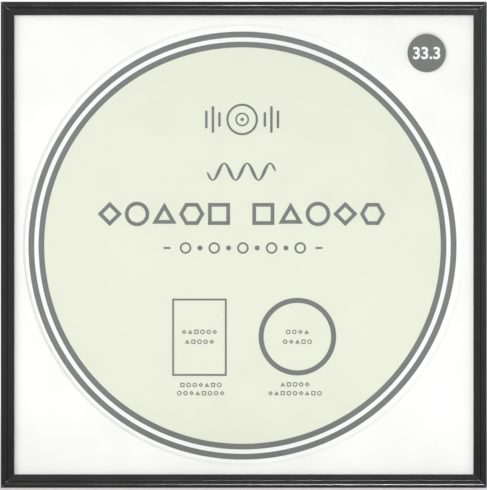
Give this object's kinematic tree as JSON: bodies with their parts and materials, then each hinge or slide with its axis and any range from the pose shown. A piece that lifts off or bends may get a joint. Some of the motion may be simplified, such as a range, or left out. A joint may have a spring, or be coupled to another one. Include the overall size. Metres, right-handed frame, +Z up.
{
  "type": "record frame",
  "caption": "Square black frame for a vinyl record, with clear glazing, a round-window card mount, a backing board held by turn buttons and a sawtooth wall hanger.",
  "frame": {"origin": "top of the hanger's middle notch, halfway through the raised bar, where the shank of the wall nail bears; the frame hangs below it", "axes": "+Y into the wall, so the front faces -Y; +Z up; +X to the right as seen from the front"},
  "size_m": [0.325, 0.015, 0.325],
  "materials": {
    "black_plastic": "satin",
    "clear_styrene": "gloss",
    "white_card": "matte",
    "printed_card": "satin",
    "fibreboard": "matte",
    "zinc_plate": "satin",
    "nickel_plate": "polished",
    "bare_steel": "satin",
    "brassed_steel": "satin",
    "grey_vinyl": "satin"
  },
  "bodies": {
    "frame": {"rail_top": "black_plastic", "rail_right": "black_plastic", "rail_bottom": "black_plastic", "rail_left": "black_plastic", "v_nail_top_left": "bare_steel", "v_nail_top_right": "bare_steel", "v_nail_bottom_right": "bare_steel", "v_nail_bottom_left": "bare_steel", "glazing": "clear_styrene", "window_mount": "white_card", "printed_insert": "printed_card", "backing_board": "fibreboard", "round_sticker": "grey_vinyl", "button_screw_top_left": "nickel_plate", "button_screw_top_right": "nickel_plate", "button_screw_right_upper": "nickel_plate", "button_screw_right_lower": "nickel_plate", "button_screw_bottom_right": "nickel_plate", "button_screw_bottom_left": "nickel_plate", "button_screw_left_lower": "nickel_plate", "button_screw_left_upper": "nickel_plate", "sawtooth_hanger": "zinc_plate", "hanger_rivet_left": "brassed_steel", "hanger_rivet_right": "brassed_steel"},
    "button_top_left": {"turn_button_top_left": "zinc_plate"},
    "button_top_right": {"turn_button_top_right": "zinc_plate"},
    "button_right_upper": {"turn_button_right_upper": "zinc_plate"},
    "button_right_lower": {"turn_button_right_lower": "zinc_plate"},
    "button_bottom_right": {"turn_button_bottom_right": "zinc_plate"},
    "button_bottom_left": {"turn_button_bottom_left": "zinc_plate"},
    "button_left_lower": {"turn_button_left_lower": "zinc_plate"},
    "button_left_upper": {"turn_button_left_upper": "zinc_plate"}
  },
  "joints": [
    {"name": "turn_top_left", "type": "hinge", "parent": "frame", "child": "button_top_left", "pos_m": [-0.08, -0.0019, 0.03275], "axis": [0, 1, 0], "range_deg": [-90, 90]},
    {"name": "turn_top_right", "type": "hinge", "parent": "frame", "child": "button_top_right", "pos_m": [0.08, -0.0019, 0.03275], "axis": [0, 1, 0], "range_deg": [-90, 90]},
    {"name": "turn_right_upper", "type": "hinge", "parent": "frame", "child": "button_right_upper", "pos_m": [0.16025, -0.0019, -0.0475], "axis": [0, 1, 0], "range_deg": [-90, 90]},
    {"name": "turn_right_lower", "type": "hinge", "parent": "frame", "child": "button_right_lower", "pos_m": [0.16025, -0.0019, -0.2075], "axis": [0, 1, 0], "range_deg": [-90, 90]},
    {"name": "turn_bottom_right", "type": "hinge", "parent": "frame", "child": "button_bottom_right", "pos_m": [0.08, -0.0019, -0.28775], "axis": [0, 1, 0], "range_deg": [-90, 90]},
    {"name": "turn_bottom_left", "type": "hinge", "parent": "frame", "child": "button_bottom_left", "pos_m": [-0.08, -0.0019, -0.28775], "axis": [0, 1, 0], "range_deg": [-90, 90]},
    {"name": "turn_left_lower", "type": "hinge", "parent": "frame", "child": "button_left_lower", "pos_m": [-0.16025, -0.0019, -0.2075], "axis": [0, 1, 0], "range_deg": [-90, 90]},
    {"name": "turn_left_upper", "type": "hinge", "parent": "frame", "child": "button_left_upper", "pos_m": [-0.16025, -0.0019, -0.0475], "axis": [0, 1, 0], "range_deg": [-90, 90]}
  ]
}
